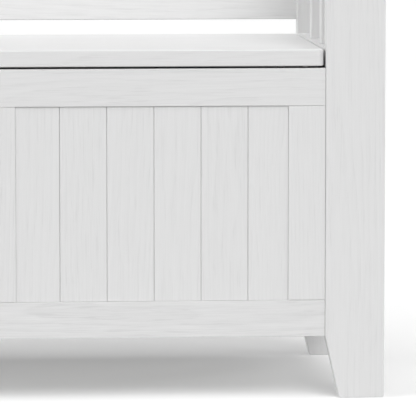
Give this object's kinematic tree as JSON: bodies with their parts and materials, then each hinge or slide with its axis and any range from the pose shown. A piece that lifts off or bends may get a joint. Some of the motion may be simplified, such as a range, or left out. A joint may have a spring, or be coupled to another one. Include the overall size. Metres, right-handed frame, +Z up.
{
  "type": "storage bench",
  "caption": "Entryway storage bench in white painted wood: planked box, lift-up hinged seat, arms on upright slats and a slatted back.",
  "frame": {"origin": "on the floor, in the middle of the bench's width and depth", "axes": "+X along the seat to the right as seen from the front, the front faces -Y, +Z up"},
  "size_m": [1.056, 0.438, 0.85],
  "materials": {
    "white_paint": "satin white paint with the grain showing faintly through",
    "inner_paint": "thin white paint on the inner boards",
    "hinge_steel": "nickel-plated, satin",
    "bumper_rubber": "soft dark grey rubber"
  },
  "bodies": {
    "frame": {"arm_left": "white_paint", "arm_right": "white_paint", "arm_slat_left_front": "white_paint", "arm_slat_left_rear": "white_paint", "arm_slat_right_front": "white_paint", "arm_slat_right_rear": "white_paint", "back_crest_rail": "white_paint", "back_lower_rail": "white_paint", "back_post_left": "white_paint", "back_post_right": "white_paint", "back_slats": "white_paint", "floor_cleats": "inner_paint", "frame_screws": "hinge_steel", "front_bottom_rail": "white_paint", "front_muntin": "white_paint", "front_plank_left_1": "white_paint", "front_plank_left_2": "white_paint", "front_plank_left_3": "white_paint", "front_plank_left_4": "white_paint", "front_plank_left_5": "white_paint", "front_plank_left_6": "white_paint", "front_plank_right_1": "white_paint", "front_plank_right_2": "white_paint", "front_plank_right_3": "white_paint", "front_plank_right_4": "white_paint", "front_plank_right_5": "white_paint", "front_plank_right_6": "white_paint", "front_post_left": "white_paint", "front_post_right": "white_paint", "front_stile_left": "white_paint", "front_stile_right": "white_paint", "front_top_rail": "white_paint", "hinge_left_pin": "hinge_steel", "hinge_left_rail_leaf": "hinge_steel", "hinge_rail": "white_paint", "hinge_right_pin": "hinge_steel", "hinge_right_rail_leaf": "hinge_steel", "rear_bottom_rail": "white_paint", "seat_ledge_left": "white_paint", "seat_ledge_right": "white_paint", "side_bottom_rail_left": "white_paint", "side_bottom_rail_right": "white_paint", "side_planks_left": "white_paint", "side_planks_right": "white_paint", "side_top_rail_left": "white_paint", "side_top_rail_right": "white_paint", "stay_left_bracket": "hinge_steel", "stay_right_bracket": "hinge_steel", "storage_back_panel": "inner_paint", "storage_floor": "inner_paint"},
    "lid": {"lid_panel": "white_paint", "lid_battens": "inner_paint", "lid_bumpers": "bumper_rubber", "lid_screws": "hinge_steel", "hinge_left_lid_leaf": "hinge_steel", "hinge_right_lid_leaf": "hinge_steel", "stay_left_quadrant": "hinge_steel", "stay_right_quadrant": "hinge_steel"}
  },
  "joints": [
    {"name": "lid_hinge", "type": "hinge", "parent": "frame", "child": "lid", "pos_m": [0, 0.1985, 0.4465], "axis": [-1, 0, 0], "range_deg": [0, 65]}
  ]
}
